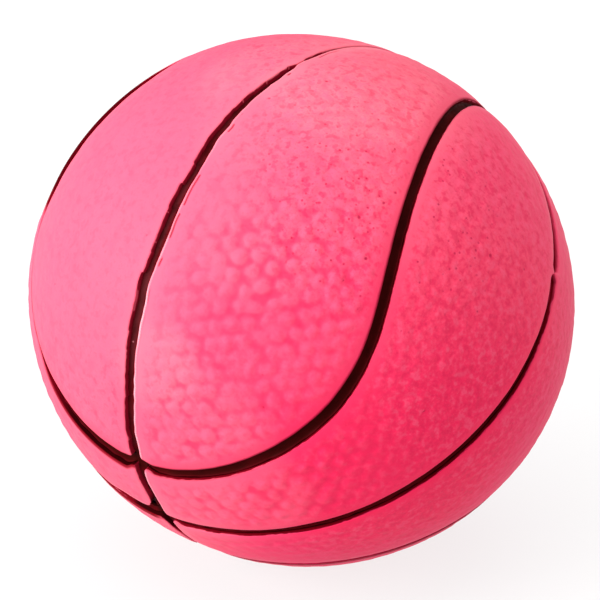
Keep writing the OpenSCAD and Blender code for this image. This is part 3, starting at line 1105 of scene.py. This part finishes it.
# ---------------------------------------------------------------------------
# The foam core, open cells all over
# ---------------------------------------------------------------------------
def build_core():
    q, tri = geodesic(FOAM)
    q = q @ turned(5.0, 17.0, 29.0).T
    cells, _ = geodesic(27)
    rng = np.random.RandomState(23)
    cells = unit(cells @ turned(19.0, 3.0, 8.0).T + rng.normal(size=cells.shape) * (0.22 / R))
    wide = 0.42 + 0.34 * rng.rand(len(cells))
    deep = 0.10 + 0.20 * rng.rand(len(cells))
    tree = KDTree(len(q))
    for i, v in enumerate(q):
        tree.insert(v, i)
    tree.balance()
    cell = np.zeros(len(q))
    dent = np.zeros(len(q))
    for k in range(len(cells)):
        for _, i, d in tree.find_range(cells[k], wide[k] / R):
            f = 1 - (d * R / wide[k]) ** 2
            if f * deep[k] > dent[i]:
                dent[i] = f * deep[k]
                cell[i] = f
    verts = q * (CORE_R - 0.02 - dent)[:, None]
    east = (q[tri].mean(1)[:, 0] > 0)
    axes = np.array([[0, 1.0, 0], [0, 0, 1.0]])
    disc = np.zeros((len(q), 2))
    uv = np.zeros((len(tri), 3, 2))
    for flag, sign, x0 in ((True, 1.0, 0.25), (False, -1.0, 0.75)):
        m = flat_map(q, np.array([sign, 0, 0]), axes[0] * sign, axes[1]) / (2 * 1.55)
        uv[east == flag] = (m * 0.47 + np.array([x0, 0.5]))[tri[east == flag]]
    # paint has soaked into the foam along the grooves
    line = np.minimum(np.minimum(np.abs(q[:, 0]), np.abs(q[:, 2])) * R, np.abs(seam_distance(q)[0]))
    soaked = 1 - ramp(line + 0.2 * noise(q * R, 0.9, 91), 1.3, 2.0)
    soaked = np.maximum(soaked, near(q, 0.0, -1.0, 0.0, 9))
    ob = new_piece("foam_core_cells", to_frame(verts), tri, uv, {"cell": cell, "soaked": soaked}, FOAM_MAT)
    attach(ob, "root")
    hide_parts("foam_core")


build_core()


# ---------------------------------------------------------------------------
# Floor, light and camera
# ---------------------------------------------------------------------------
def build_floor():
    n, half = 48, 6.0
    x = np.linspace(-half, half, n + 1)
    gx, gy = np.meshgrid(x, x, indexing="ij")
    rise = 0.12 * np.clip((np.hypot(gx, gy) - 1.2) / 2.2, 0, 1.4) ** 2
    verts = np.stack([gx.ravel(), gy.ravel(), rise.ravel() - R * MM - 0.00012], 1)
    i, j = (a.ravel() for a in np.meshgrid(np.arange(n), np.arange(n), indexing="ij"))
    a, b, c, d = i * (n + 1) + j, (i + 1) * (n + 1) + j, (i + 1) * (n + 1) + j + 1, i * (n + 1) + j + 1
    me = bpy.data.meshes.new("floor")
    me.from_pydata(verts.tolist(), [], np.stack([a, b, c, d], 1).tolist())
    mat, nt, bsdf, where = finish_tree("pale_floor")
    c = blend_colour(nt, noise_node(nt, where, 3.0, 2.0), (0.135, 0.135, 0.135), (0.145, 0.145, 0.145))
    nt.links.new(c, bsdf.inputs["Base Color"])
    bsdf.inputs["Emission Color"].default_value = (1, 1, 1, 1)
    bsdf.inputs["Emission Strength"].default_value = 0.8
    bsdf.inputs["Roughness"].default_value = 0.85
    bsdf.inputs["Specular IOR Level"].default_value = 0.1
    me.materials.append(mat)
    ob = bpy.data.objects.new("floor", me)
    bpy.context.scene.collection.objects.link(ob)


build_floor()

world = bpy.data.worlds.new("studio")
bpy.context.scene.world = world
world.use_nodes = True
back = world.node_tree.nodes["Background"]
back.inputs["Color"].default_value = (1.0, 1.0, 1.0, 1)
back.inputs["Strength"].default_value = 0.29

VIEW = Vector((0.57323, -0.68268, 0.45315))
RIGHT = Vector((0.76583, 0.64303, 0.0))
UP = Vector((-0.29139, 0.34704, 0.89144))


def sun(name, right, up, front, strength, spread):
    """A large soft light far off, placed by how far it is to the right, above and in front of the view."""
    data = bpy.data.lights.new(name, "SUN")
    data.energy = strength
    data.angle = math.radians(spread)
    ob = bpy.data.objects.new(name, data)
    towards = (RIGHT * right + UP * up + VIEW * front).normalized()
    ob.rotation_mode = "QUATERNION"
    ob.rotation_quaternion = towards.to_track_quat("Z", "Y")
    ob.location = towards * 1.5
    bpy.context.scene.collection.objects.link(ob)


sun("key", -0.88, 0.05, 0.47, 7.35, 56)
sun("top", -0.12, 0.94, 0.30, 3.05, 80)
sun("fill", 0.95, -0.02, 0.35, 1.48, 100)

PX = R * MM / 265.12
cam = bpy.data.cameras.new("camera")
cam.sensor_width = 36.0
cam.lens = 18.0 / (300.0 / 265.12 / 40.0)
cam.clip_start, cam.clip_end = 0.05, 30.0
camera = bpy.data.objects.new("camera", cam)
camera.rotation_mode = "QUATERNION"
camera.location = VIEW * (40.0 * R * MM) - RIGHT * (1.27 * PX) + UP * (0.09 * PX)
camera.rotation_quaternion = (-VIEW).to_track_quat("-Z", "Y")
bpy.context.scene.collection.objects.link(camera)
bpy.context.scene.camera = camera
bpy.context.scene.view_settings.view_transform = "Standard"
bpy.context.scene.view_settings.look = "None"
